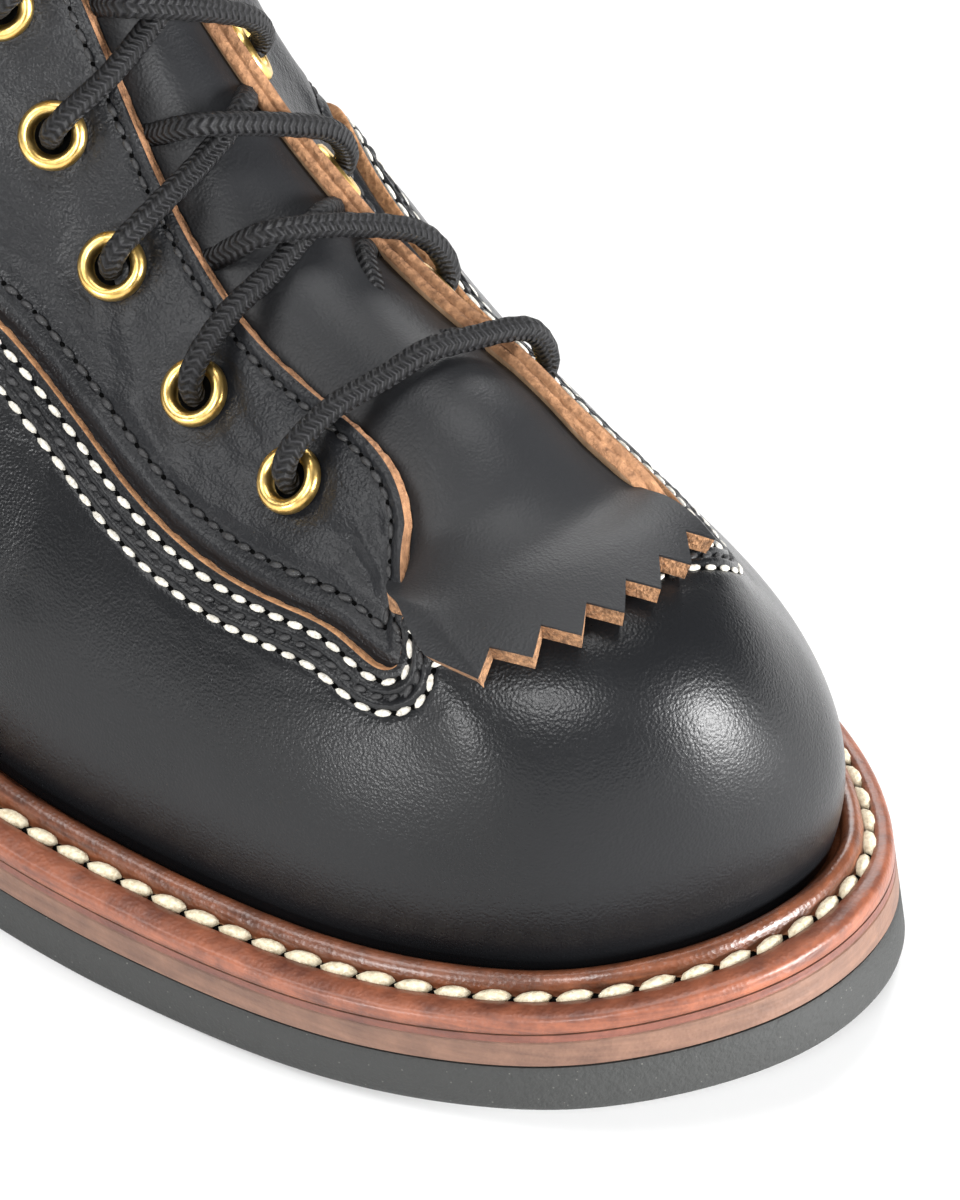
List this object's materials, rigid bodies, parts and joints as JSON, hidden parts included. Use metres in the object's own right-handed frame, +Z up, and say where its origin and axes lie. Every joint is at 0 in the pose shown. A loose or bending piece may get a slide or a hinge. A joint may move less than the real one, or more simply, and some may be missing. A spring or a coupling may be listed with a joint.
{
  "type": "logger boot",
  "caption": "Right-foot lace-to-toe logger boot with a pinked kiltie, stitched welt, layered sole and high straight heel.",
  "frame": {"origin": "on the flat tread under the ball of the foot, at the sole's joint with the floor", "axes": "+Z up from the floor, toe towards -Y, heel towards +Y, the foot's outer side towards -X"},
  "size_m": [0.1149, 0.3071, 0.2698],
  "materials": {
    "black leather": "satin oiled grain",
    "brown welt leather": "burnished edge",
    "stacked leather": "sanded edge",
    "black rubber": "matte",
    "insole leather": "natural",
    "brass": "polished rolled rim",
    "black braid": "round braid"
  },
  "bodies": {
    "root": {"outsole": "black rubber", "midsole": "stacked leather", "heel_stack": "stacked leather", "heel_top_lift": "black rubber", "welt": "brown welt leather", "insole": "insole leather", "upper": "black leather", "tongue": "black leather", "kiltie": "black leather", "eyelet_outer_01": "brass", "eyelet_outer_02": "brass", "eyelet_outer_03": "brass", "eyelet_outer_04": "brass", "eyelet_outer_05": "brass", "eyelet_outer_06": "brass", "eyelet_outer_07": "brass", "eyelet_outer_08": "brass", "eyelet_outer_09": "brass", "eyelet_outer_10": "brass", "eyelet_outer_11": "brass", "eyelet_inner_01": "brass", "eyelet_inner_02": "brass", "eyelet_inner_03": "brass", "eyelet_inner_04": "brass", "eyelet_inner_05": "brass", "eyelet_inner_06": "brass", "eyelet_inner_07": "brass", "eyelet_inner_08": "brass", "eyelet_inner_09": "brass", "eyelet_inner_10": "brass", "eyelet_inner_11": "brass", "lace_bar": "black braid", "lace_cross_02": "black braid", "lace_cross_03": "black braid", "lace_cross_04": "black braid", "lace_cross_05": "black braid", "lace_cross_06": "black braid", "lace_cross_07": "black braid", "lace_cross_08": "black braid", "lace_cross_09": "black braid", "lace_cross_10": "black braid"}
  },
  "joints": []
}
